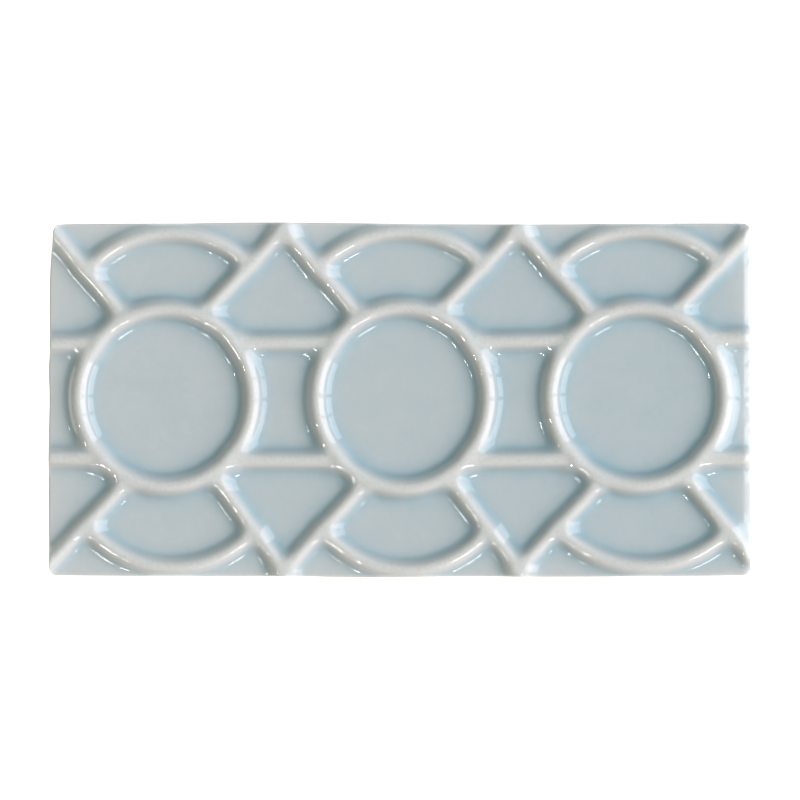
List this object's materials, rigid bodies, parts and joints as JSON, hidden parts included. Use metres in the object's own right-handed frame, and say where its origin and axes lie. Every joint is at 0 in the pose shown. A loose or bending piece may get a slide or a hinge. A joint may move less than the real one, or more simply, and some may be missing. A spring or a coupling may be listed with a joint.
{
  "type": "decorative relief wall tile",
  "caption": "Oblong glazed ceramic wall tile with a raised lattice of rings, bars, slanting struts and arcs on a flat slab.",
  "frame": {"origin": "middle of the flat back face, which lies on the floor", "axes": "+X along the tile's length, +Y across its width, +Z out of the glazed relief face"},
  "size_m": [0.15, 0.076, 0.0101],
  "materials": {
    "pale_blue_glaze": "gloss"
  },
  "bodies": {
    "root": {"tile": "pale_blue_glaze"}
  },
  "joints": []
}
